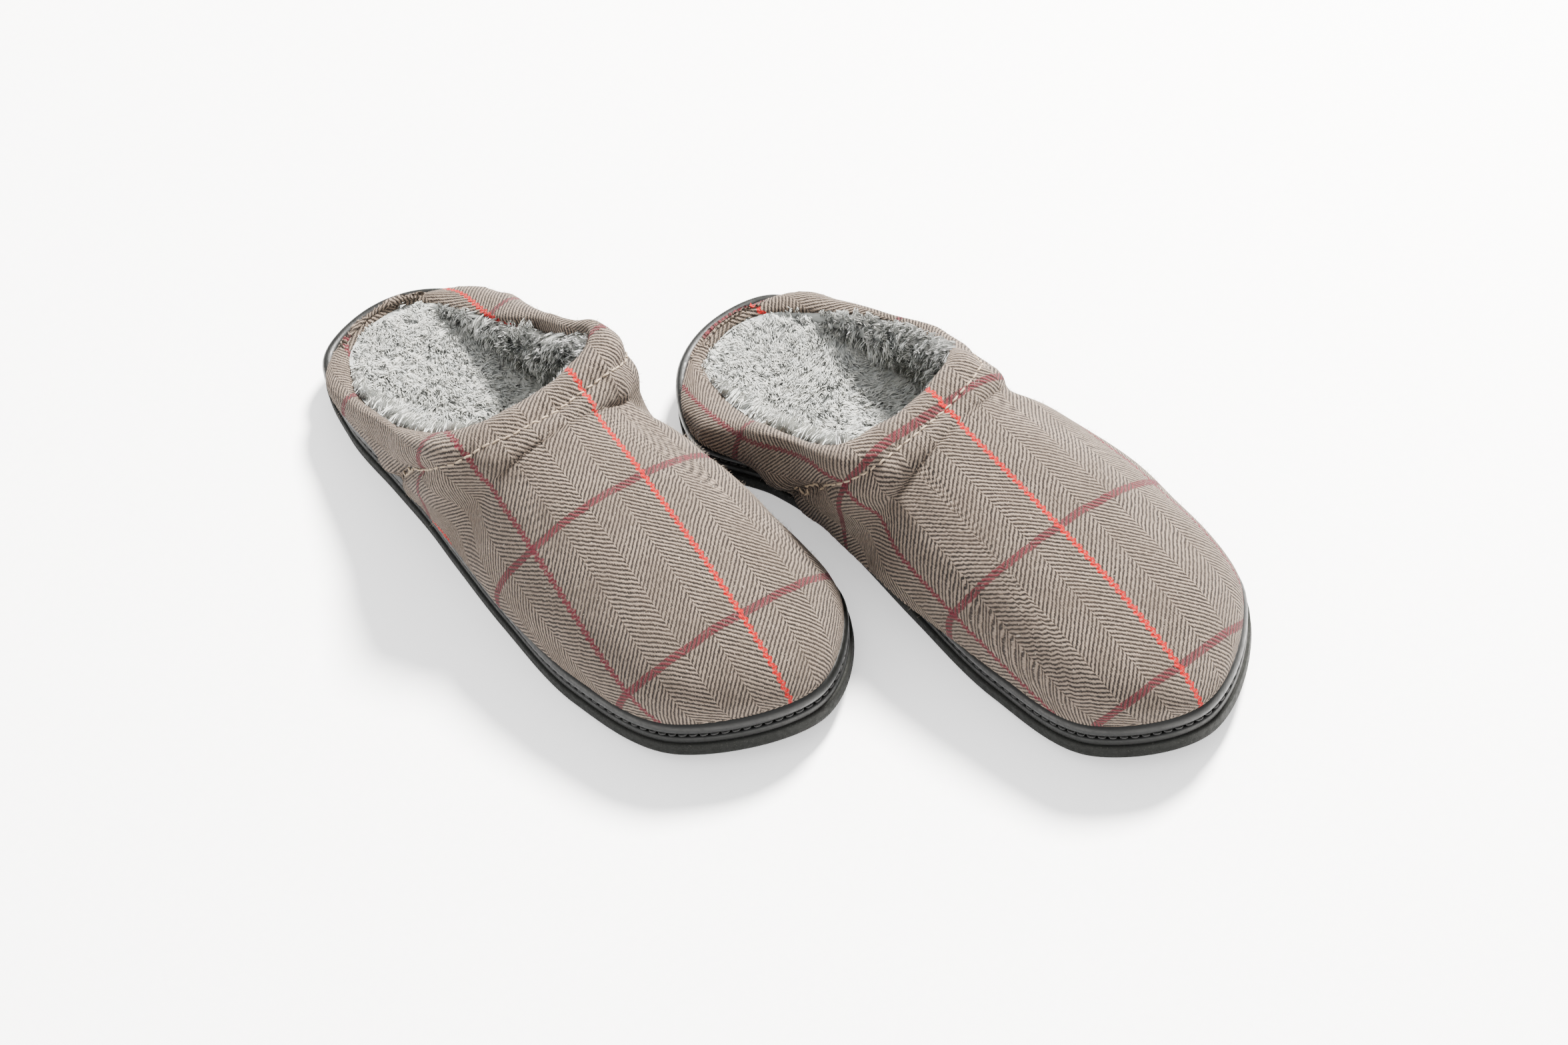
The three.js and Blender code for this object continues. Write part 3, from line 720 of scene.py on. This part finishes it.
def makeSeamStitches(side, outer, material):
    path = splineThrough(seam['path'], 600, closed=False)
    faces = gridFaces(*outer.shape[:2])
    tree = BVHTree.FromPolygons([Vector(p) for p in outer.reshape(-1, 3)], faces.tolist())
    normals = outwardNormals(outer).reshape(-1, 3)
    landed = []      # the seam dropped on the padded cloth, with the cloth's direction there
    for p in path:
        place, _, index, _ = tree.find_nearest(Vector(p))
        landed.append(np.concatenate([place, normals[faces[index][0]]]))
    landed = np.array(landed)
    length = lengthsAlong(landed[:, :3])
    chance = np.random.default_rng(seeds[side]['stitches'])
    parts = []
    at = seam['start']
    share = np.linspace(-1, 1, 9)
    while at < length[-1] - seam['start']:
        half = seam['stitch'] / 2 * chance.uniform(0.88, 1.08)
        spots = readAt(at + np.linspace(-half, half, 9), length, landed)
        points, normal = spots[:, :3], unit(spots[:, 3:])
        rise = 0.5 * np.sqrt(np.clip(1 - share ** 2, 0, 1)) - 0.25
        slant = (share * chance.uniform(-0.25, 0.25))[:, None]
        sideways = np.cross(normal, unit(np.gradient(points, axis=0))) * slant
        parts.append(tubeAlong(points + normal * rise[:, None] + sideways, seam['thread']))
        at += seam['pitch'] * chance.uniform(0.96, 1.04)
    points, faces = joinParts(parts)
    piece = makePiece('throat_topstitch', side, points, faces, material)
    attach(piece, side + '_slipper')
    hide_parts(side + '_throat_stitch')


edge = dict(
    outsole=dict(height=7.9, round=2.6, grooveEvery=7.5, groove=1.3, cut=0.8, rings=9),
    tread=[(24, 0.0), (20.2, 0.0), (19.8, 1.1), (18.2, 1.1), (17.8, 0.0), (12.2, 0.0),
           (11.8, 1.1), (10.2, 1.1), (9.8, 0.0), (6.0, 0.0)],
    # low, high and inset of each band
    wrap=(7.7, 11.2, 1.0), channel=(10.9, 13.0, 2.6), binding=(12.6, 18.7, 0.5),
    bindingDepth=4.9, bindingRound=0.42, bindingUneven=0.10, bindingPitch=30,
    lock=dict(pitch=4.1, length=3.3, thread=0.48, height=12.1, inset=1.5, dip=1.1, slant=0.22))


def outsoleParts(count):
    # rounded lower corner, straight matt edge, flat top and a moulded tread underneath
    facts = edge['outsole']
    r, h = facts['round'], facts['height']
    curve = [(r - r * math.sin(a), r - r * math.cos(a)) for a in np.linspace(0, math.pi / 2, 6)]
    wall = [(0.0, z) for z in np.linspace(r, h - 0.9, 5)[1:]]
    wall += [(0.12, h - 0.45), (0.5, h - 0.05), (1.2, h), (3.0, h)]
    grid = sweepEdge(edge['tread'] + curve + wall, count)
    # cross grooves in the outer band of the tread, cut by lifting the points between the ribs
    loop = soleOutline(count)
    cut = (np.mod(lengthsAlong(loop), facts['grooveEvery']) < facts['groove']) * facts['cut']
    grid[:, 8:11, 2] += cut[:, None]
    # underside and top are filled with rings drawn in towards the middle line; at the toe they
    # start lower than the tread's inner edge, so a thin slit stays open there
    bottom, bottomFaces = asPart(ringsIn(grid[:, 0], facts['rings'], springAt))
    lid = ringsIn(grid[:, -1], facts['rings'], lambda s: springAt(s) + h)
    return [asPart(grid), (bottom, bottomFaces[:, ::-1]), asPart(lid)]


def bandParts(count):
    # smooth wrap band, and the floor of the stitch channel above it
    low, high, inset = edge['wrap']
    band = [(inset + 2.5, low), (inset + 0.5, low), (inset + 0.08, low + 0.3)]
    band += [(inset, z) for z in np.linspace(low + 0.7, high - 0.7, 4)]
    band += [(inset + 0.15, high - 0.25), (inset + 0.6, high), (inset + 2.5, high)]
    low, high, inset = edge['channel']
    channel = [(inset + 1.6, low), (inset + 0.3, low + 0.1), (inset, low + 0.6),
               (inset, high - 0.5), (inset + 0.3, high), (inset + 1.6, high)]
    return [asPart(sweepEdge(profile, count), closedColumns=True) for profile in (band, channel)]


def bindingParts(side, count):
    # half-round binding, a little uneven where it was pulled round by hand
    low, high, inset = edge['binding']
    end = inset + edge['bindingDepth']
    half, centre = (high - low) / 2, (high + low) / 2
    depth = edge['bindingDepth'] * edge['bindingRound']
    profile = [(inset + depth * (1 - math.cos(a)), centre + half * math.sin(a))
               for a in np.linspace(-math.pi / 2, math.pi / 2, 15)]
    grid = sweepEdge([(end, low)] + profile + [(end, high - 0.4)], count)
    uneven = edge['bindingUneven'] * waves(grid, seeds[side]['binding'], edge['bindingPitch'])
    grid = grid - inwardOf(soleOutline(count))[:, None] * uneven[..., None]
    return [asPart(grid, closedColumns=True)]


def lockParts(side):
    # lockstitches lying in the channel
    facts = edge['lock']
    chance = np.random.default_rng(seeds[side]['lock'])
    loop = soleOutline(2400)
    inward = inwardOf(loop)
    path = loop + inward * facts['inset']
    path[:, 2] = facts['height'] + springAt(loop[:, 1])
    path = np.vstack([path, path[:1]])
    length = lengthsAlong(path)
    number = int(length[-1] / facts['pitch'])
    share = np.linspace(-1, 1, 8)
    parts = []
    for k in range(number):
        at = (k + 0.5) / number * length[-1]
        reach = facts['length'] / 2 * chance.uniform(0.92, 1.06)
        points = readAt(at + np.linspace(-reach, reach, 8), length, path)
        inside = readAt(at, length[:-1], inward)
        points = points + inside * (share ** 4 * facts['dip'])[:, None]
        points[:, 2] += share * facts['slant']
        parts.append(tubeAlong(points, facts['thread'], 6))
    return parts


def makeSole(side, materials):
    count = sole['steps']
    for name, parts, look, node, slot in (
            ('outsole_moulded', outsoleParts(count), 'soleRubber', 'outsole', 'sole_rubber'),
            ('platform_wrap', bandParts(count), 'wrapRubber', 'platform_cover', 'wrap_rubber'),
            ('edge_binding_wrap', bindingParts(side, count), 'binding', 'edge_binding',
             'wrap_rubber'),
            ('edge_lockstitch', lockParts(side), 'blackThread', 'edge_stitch', 'black_thread')):
        piece = makePiece(name, side, *joinParts(parts), materials[look])
        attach(piece, side + '_slipper')
        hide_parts(side + '_' + node)


def ringsIn(loop, number, heightAt):
    # rows drawn in from a closed edge to the slipper's middle line, at their own height
    low, high = halfWidths(loop[:, 1])
    spine = loop.copy()
    spine[:, 0] = (np.clip(low, -60, 0) + np.clip(high, 0, 60)) / 2
    spine[:, 1] = np.clip(loop[:, 1], 40, pair['length'] - 40)
    rings = np.stack([lerp(loop, spine, k) for k in np.linspace(0, 1, number) ** 0.8], axis=1)
    rings[:, :, 2] = np.array([heightAt(rings[:, j, 1]) for j in range(number)]).T
    return rings


def placeBlades(base, normals, weight, flow, facts, seed, growth=None):
    # tufts dropped evenly over the base, each a clump of thin blades that lean together
    chance = np.random.default_rng(seed)
    tufts, number = facts['tufts'], facts['blades']
    corners = np.stack([base[:-1, :-1], base[1:, :-1], base[1:, 1:], base[:-1, 1:]], axis=2)
    crossed = np.cross(corners[:, :, 2] - corners[:, :, 0], corners[:, :, 3] - corners[:, :, 1])
    area = np.linalg.norm(crossed, axis=2) / 2
    share = (area * weight[:-1, :-1]).ravel()
    cell = chance.choice(len(share), size=tufts, p=share / share.sum())
    i, j = np.unravel_index(cell, area.shape)
    a, b = chance.random((2, tufts, 1))

    def at(values):
        near = values[i, j] * (1 - a) + values[i + 1, j] * a
        far = values[i, j + 1] * (1 - a) + values[i + 1, j + 1] * a
        return near * (1 - b) + far * b

    centre, normal = at(base), unit(at(normals))
    heading = flow(centre, normal)
    turn = chance.normal(0, 0.32, (tufts, 1)) + 0.4 * waves(centre, seed + 3, 26)[:, None]
    across = np.cross(normal, heading)
    heading = unit(heading * np.cos(turn) + across * np.sin(turn))
    across = np.cross(normal, heading)
    tall = facts['length'] * chance.uniform(0.75, 1.2, (tufts, 1))
    tall = tall * (growth(centre)[:, None] if growth else 1)
    lean = np.clip(facts['lean'] + chance.normal(0, 0.16, (tufts, 1)), 0.15, 0.95)
    stand = normal[:, None] * np.sqrt(1 - lean ** 2)[:, None]
    # blades: roots spread round the middle of the tuft, tips drawn together
    radius = np.sqrt(chance.random((tufts, number, 1))) * facts['spread']
    angle = chance.random((tufts, number, 1)) * 2 * math.pi
    off = np.cos(angle) * heading[:, None] + np.sin(angle) * across[:, None]
    root = centre[:, None] + off * radius - normal[:, None] * 0.5
    reach = tall[:, None] * chance.uniform(0.8, 1.12, (tufts, number, 1))
    gather = facts['gather'] + 0.35 * chance.random((tufts, number, 1))
    tip = centre[:, None] + off * radius * gather
    tip += heading[:, None] * reach * lean[:, None] + stand * reach * 0.85
    tip += chance.normal(0, 0.3, tip.shape)
    knee = root + (tip - root) * 0.45 + normal[:, None] * reach * 0.22
    knee += across[:, None] * chance.normal(0, 0.35, reach.shape)
    roll = unit(np.cross(tip - root, normal[:, None] + chance.normal(0, 0.6, tip.shape)))
    thin = roll * chance.uniform(0.75, 1.2, reach.shape) * facts['width'] / 2 * 0.9
    middle = 0.45 ** 2 * root + 2 * 0.55 * 0.45 * knee + 0.55 ** 2 * tip
    points = (root - thin, root + thin, middle - thin, middle + thin, tip)
    points = np.stack([p.reshape(-1, 3) for p in points], axis=1)
    # the same heights darken the blades towards their roots in the pile finish, as painted shade
    tone = np.array([0.0, 0.0, 0.55, 0.55, 1.0])      # height of each point along its blade
    total = len(points)
    # shading follows the tuft more than the single blade
    facing = normal[:, None] + off * (radius / facts['spread']) * facts['relief']
    facing = unit(facing + chance.normal(0, 0.08, off.shape)).reshape(-1, 1, 3)
    toTip = unit(tip - root).reshape(-1, 1, 3)
    facing = unit(facing + toTip * (tone * 0.15)[None, :, None])
    tint = np.repeat(chance.random(tufts) * 0.7, number) + chance.random(total) * 0.3
    laid = np.stack([np.repeat(tint[:, None], 5, axis=1), np.tile(tone, (total, 1))], axis=2)
    first = np.arange(total)[:, None] * 5
    faces = np.concatenate([first + np.array(t) for t in ((0, 1, 3), (0, 3, 2), (2, 3, 4))])
    return points.reshape(-1, 3), faces, laid.reshape(-1, 2), facing.reshape(-1, 3)


def insideBy(points, loop):
    # how far inside a closed plan outline each point is, below 0 outside it
    p = points[..., None, :2]
    a, b = loop[:, :2], np.roll(loop[:, :2], -1, axis=0)
    t = np.clip(((p - a) * (b - a)).sum(-1) / np.maximum(((b - a) ** 2).sum(-1), 1e-9), 0, 1)
    distance = np.linalg.norm(p - a - t[..., None] * (b - a), axis=-1).min(-1)
    rise = np.where(b[:, 1] == a[:, 1], 1e-9, b[:, 1] - a[:, 1])
    left = p[..., 0] < (b[:, 0] - a[:, 0]) * (p[..., 1] - a[:, 1]) / rise + a[:, 0]
    crossing = ((a[:, 1] > p[..., 1]) != (b[:, 1] > p[..., 1])) & left
    return np.where(crossing.sum(-1) % 2 == 1, distance, -distance)


def toTriangles(faces):
    return np.concatenate([faces[:, [0, 1, 2]], faces[:, [0, 2, 3]]])


def finishPlush(name, side, base, normals, closedRows, blades, node, material, shown=None):
    # the knitted ground and its blades, joined as one piece
    rows, columns = base.shape[:2]
    ground = toTriangles(gridFaces(rows, columns, closedRows=closedRows))
    if shown is not None:
        ground = ground[shown.ravel()[ground].all(axis=1)]
    points = np.concatenate([base.reshape(-1, 3), blades[0]])
    faces = np.concatenate([ground, blades[1] + rows * columns])
    # the ground sits low along the pile, so it takes nearly the root colour: painted shade between the
    # tufts
    laid = np.concatenate([np.tile([0.5, 0.12], (rows * columns, 1)), blades[2]])
    facing = np.concatenate([normals.reshape(-1, 3), blades[3]])
    piece = makePiece(name, side, points, faces, material, laid, facing)
    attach(piece, side + '_slipper')
    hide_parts(side + '_' + node)


sock = dict(
    tufts=8200, blades=7, width=0.42, spread=1.35, lean=0.9, length=5.0, gather=0.7, relief=0.12,
    top=20.4, start=4.5, end=232.0, inset=7.5, cup=1.6, cupStretch=(45, 34), lip=1.2, uneven=0.5,
    collarEnd=92, pocketFrom=175)


def brushed(heading, normal):
    # a direction laid along the surface
    return unit(heading - normal * (heading * normal).sum(1, keepdims=True))


def makePlushSock(side, material):
    facts = sock
    seed = seeds[side]['sock']
    stations = np.linspace(facts['start'], facts['end'], 90)
    low, high = halfWidths(stations)
    across = np.linspace(-1, 1, 41)[None]
    middle, half = (low + high) / 2, (high - low) / 2 - facts['inset']
    base = np.empty((len(stations), across.size, 3))
    base[:, :, 0] = middle[:, None] + across * half[:, None]
    base[:, :, 1] = stations[:, None]
    heelCup = facts['cup'] * hump(stations, *facts['cupStretch'])[:, None]
    base[:, :, 2] = facts['top'] + springAt(stations)[:, None] - heelCup * (1 - across ** 2)
    base[:, :, 2] += facts['lip'] * np.abs(across) ** 5
    base[:, :, 2] += facts['uneven'] * waves(base, seed, 34)
    normals = unit(np.cross(np.gradient(base, axis=1), np.gradient(base, axis=0)))
    normals = normals if normals[..., 2].mean() > 0 else -normals
    # no pile under the low heel collar, where it would come through the cloth
    inside = insideBy(base, makeSlices()[2])
    past = base[..., 1] > facts['collarEnd']
    weight = np.where(base[..., 1] < facts['pocketFrom'], 1.0, 0.25)
    weight *= np.where(past | (inside > -1.0), 1.0, 0.0)
    shown = past | (inside > -2.5)

    def flow(centre, normal):
        # brushed from the heel towards the toe, opening out to the sides
        sway = 0.012 * centre[:, 0] + 0.5 * waves(centre, seed + 9, 60)
        return brushed(np.stack([sway, np.ones(len(sway)), np.zeros(len(sway))], axis=1), normal)

    blades = placeBlades(base, normals, weight, flow, facts, seed)
    finishPlush('plush_sock_pile', side, base, normals, False, blades, 'plush_sock', material, shown)


lining = dict(
    tufts=3900, blades=13, width=0.44, spread=1.9, lean=0.6, length=6.8, gather=0.3, relief=0.4,
    rows=22, bulge=0.3, mostBulge=6.5, pocketDown=(6.0, 8.5), pocketIn=7.5, pocketReach=0.93,
    shortPile=0.45, shortStretch=(15, 50), thinStretch=(18, 45), pocketFrom=165)


def makePlushLining(side, info, grid, material):
    facts = lining
    seed = seeds[side]['lining']
    t = np.linspace(0, 1, facts['rows'])
    base = np.empty((len(info), len(t), 3))
    for i, spot in enumerate(info):
        leave, rim = spot['leave'], spot['rim']
        floor = sock['top'] - 0.4 + springAt(spot['s'])
        lip = rim * [1, 1, 0] - leave * 0.4 + [0, 0, rim[2] + 0.6]
        # open sides: down from the lip to the sock, bulging in
        foot = rim * [1, 1, 0] + leave * 1.0
        foot[2] = floor
        bulge = min(max(lip[2] - floor, 0) * facts['bulge'], facts['mostBulge'])
        openRow = lerp(lip, foot, t[:, None])
        openRow = openRow + leave * (bulge * np.sin(math.pi * t ** 0.75))[:, None]
        # toe pocket: back under the vamp and down to the edge of the sock
        under = grid[i][:int(np.argmax(grid[i][:, 2])) + 1][::-1]
        length = lengthsAlong(under)
        pocket = readAt(np.linspace(0, length[-1] * facts['pocketReach'], len(t)), length, under)
        pocket[:, 2] -= lerp(*facts['pocketDown'], smooth(t, 0, 0.2))
        pocket = pocket + spot['inward'] * (facts['pocketIn'] * smooth(t, 0.3, 1))[:, None]
        pocket[:, 2] = np.maximum(pocket[:, 2], floor)
        pocket = lerp(lip, pocket, smooth(t, 0, 0.12)[:, None])
        base[i] = lerp(openRow, pocket, spot['vamp'])
    base = evenedRound(base, np.ones(len(info)) * 0.8, 6)
    normals = gridNormals(base)
    normals = normals if ((base - [0, 120, 45]) * normals).sum(-1).mean() < 0 else -normals
    # the pile faces the foot: inward from the lip and the walls, down from the pocket's roof
    leaves = np.array([spot['leave'] for spot in info])[:, None]
    roof = np.array([spot['vamp'] for spot in info])[:, None, None]
    atLip = np.arange(len(t))[None] < 2
    toFoot = lerp(leaves + [0, 0, 0.8], np.array([0, 0, -1.0]), roof)
    toFoot = np.where(atLip[..., None], leaves, toFoot)
    away = (normals * toFoot).sum(-1, keepdims=True) < 0
    normals = unit(np.where(away, -normals, normals) + toFoot * 0.25)
    weight = np.where(base[..., 1] < facts['pocketFrom'], 1.0, 0.12) * np.where(atLip, 1.6, 1.0)
    weight *= lerp(0.5, 1.0, smooth(base[..., 1], *facts['thinStretch']))

    def growth(centre):
        return lerp(facts['shortPile'], 1.0, smooth(centre[:, 1], *facts['shortStretch']))

    def flow(centre, normal):
        lift = 0.35 + 0.5 * waves(centre, seed + 9, 40)
        ahead = np.full(len(lift), 0.9)
        return brushed(np.stack([np.zeros(len(lift)), ahead, lift], axis=1), normal)

    closed = (np.concatenate([part, part[:1]], axis=0) for part in (base, normals, weight))
    blades = placeBlades(*closed, flow, facts, seed, growth)
    finishPlush('plush_lining_pile', side, base, normals, True, blades, 'plush_lining', material)


fuzz = dict(tufts=3200, blades=1, length=2.3, width=0.1, spread=0.4, lean=0.75, relief=0.3,
            gather=0.8, above=21, hemColumns=8, innerColumns=14)


def makeFuzz(side, outer, material):
    # loose fibres standing off the wool
    seed = seeds[side]['fibres']
    normals = outwardNormals(outer)
    base, normals = (np.concatenate([part, part[:1]], axis=0) for part in (outer, normals))
    weight = np.where(base[..., 2] > fuzz['above'], 1.0, 0.0)
    weight[:, :fuzz['hemColumns']] = 0
    weight[:, -fuzz['innerColumns']:] = 0

    def flow(centre, normal):
        return brushed(np.stack([waves(centre, seed + k, 9) for k in (1, 2, 3)], axis=1), normal)

    points, faces, laid, facing = placeBlades(base, normals, weight, flow, fuzz, seed)
    piece = makePiece('tweed_loose_fibres', side, points, faces, material, laid, facing)
    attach(piece, side + '_slipper')


stand = dict(down=50.8, away=1.895, lens=112.7, heading=(0.5143, 0.8576),
             target=(0.0072, 0.0004, 0.0), roll=-12.8)


def makeCamera():
    data = bpy.data.cameras.new('camera')
    camera = link('camera', data)
    data.sensor_width = 36.0
    data.lens = stand['lens']
    data.clip_start, data.clip_end = 0.05, 50.0
    down = math.radians(stand['down'])
    ahead = Vector([h * math.cos(down) for h in stand['heading']] + [-math.sin(down)])
    camera.location = Vector(stand['target']) - ahead * stand['away']
    camera.rotation_mode = 'QUATERNION'
    roll = Quaternion((0, 0, 1), math.radians(stand['roll']))
    camera.rotation_quaternion = ahead.to_track_quat('-Z', 'Y') @ roll
    bpy.context.scene.camera = camera


studio = dict(
    world=2.0, floorSize=6.0, floorGlow=0.5, paper=[(0.94,) * 3 + (1.0,), (0.97,) * 3 + (1.0,)],
    key=dict(place=(1.25, 0.3, 1.5), aim=(0, 0, 0), size=0.45, power=400, tint=(1.0, 0.97, 0.93)),
    fill=dict(place=(-1.2, -1.6, 1.6), aim=(0, 0, 0.02), size=1.6, power=13, tint=(1, 1, 1)))


def makeFloor():
    n = Nodes('pale_paper')
    grain = n.noise(300.0, n.place(), 3.0)
    n.surface(n.mix(n.ramp(grain, 0.3, 0.7), *studio['paper']), 0.9)
    n.fix('Specular IOR Level', 0.1)
    n.fix('Emission Color', (1.0, 1.0, 1.0, 1.0))
    n.fix('Emission Strength', studio['floorGlow'])
    size = studio['floorSize']
    mesh = bpy.data.meshes.new('floor')
    corners = [(-size, -size, 0), (size, -size, 0), (size, size, 0), (-size, size, 0)]
    mesh.from_pydata(corners, [], [(0, 1, 2, 3)])
    mesh.materials.append(n.material)
    link('floor', mesh)


def makeLight(name):
    facts = studio[name]
    data = bpy.data.lights.new(name, 'AREA')
    data.shape = 'DISK'
    data.size, data.energy, data.color = facts['size'], facts['power'], facts['tint']
    lamp = link(name, data)
    lamp.location = facts['place']
    lamp.rotation_mode = 'QUATERNION'
    toAim = Vector(facts['aim']) - Vector(facts['place'])
    lamp.rotation_quaternion = toAim.to_track_quat('-Z', 'Y')


def makeWorld():
    world = bpy.data.worlds.new('studio')
    bpy.context.scene.world = world
    world.use_nodes = True
    background = world.node_tree.nodes['Background']
    background.inputs[0].default_value = (1.0, 1.0, 1.0, 1.0)
    background.inputs[1].default_value = studio['world']


makeCamera()
makeFloor()
makeWorld()
makeLight('key')
makeLight('fill')
print('camera, floor and lights done')

materials = dict(
    tweed=makeTweed('tweed_herringbone'),
    paleThread=makeThread('pale_topstitch_thread', sRgb(178, 156, 130), 900.0),
    fuzz=makeThread('loose_wool_fibre', sRgb(150, 136, 122), 1200.0),
    blackThread=makeThread('black_waxed_thread', sRgb(18, 18, 18), 900.0),
    soleRubber=makeRubber('matt_sole_rubber', sRgb(26, 27, 25), 0.75, 0.35, 0.35),
    wrapRubber=makeRubber('smooth_wrap_rubber', sRgb(18, 19, 18), 0.5, 0.1, 0.15),
    binding=makeRubber('binding_rubber', sRgb(15, 16, 15), 0.42, 0.06, 0.12),
    pile=makePile('plush_pile'),
    foam=makeCore('eva_foam', sRgb(210, 208, 200), 900.0, 0.3),
    board=makeCore('insole_fibre_board', sRgb(150, 128, 98), 1500.0, 0.2))
print('materials done')

hidden = dict(midsole_foam='foam', insole_board='board', insole_cushion='foam')
for side in ('right', 'left'):
    for node, look in hidden.items():
        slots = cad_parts[side + '_' + node].data.materials
        slots.clear()
        slots.append(materials[look])

rows, info = upperRows()
grid = evenlySpaced(rows, upper['columns'])
atThroat = hump(np.array([spot['s'] for spot in info]), *upper['evenedStretch'])
grid = evenedRound(grid, atThroat, upper['evenedPasses'])
flat = clothPlan(grid, info)
print('upper surface done')

for side in ('right', 'left'):
    shaped = settleUpper(grid.copy(), info, side)
    outer = makeTweedUpper(side, shaped, flat, materials['tweed'])
    makeSeamStitches(side, outer, materials['paleThread'])
    makeFuzz(side, outer, materials['fuzz'])
    makeSole(side, materials)
    makePlushSock(side, materials['pile'])
    makePlushLining(side, info, shaped, materials['pile'])
    print(side, 'slipper done')
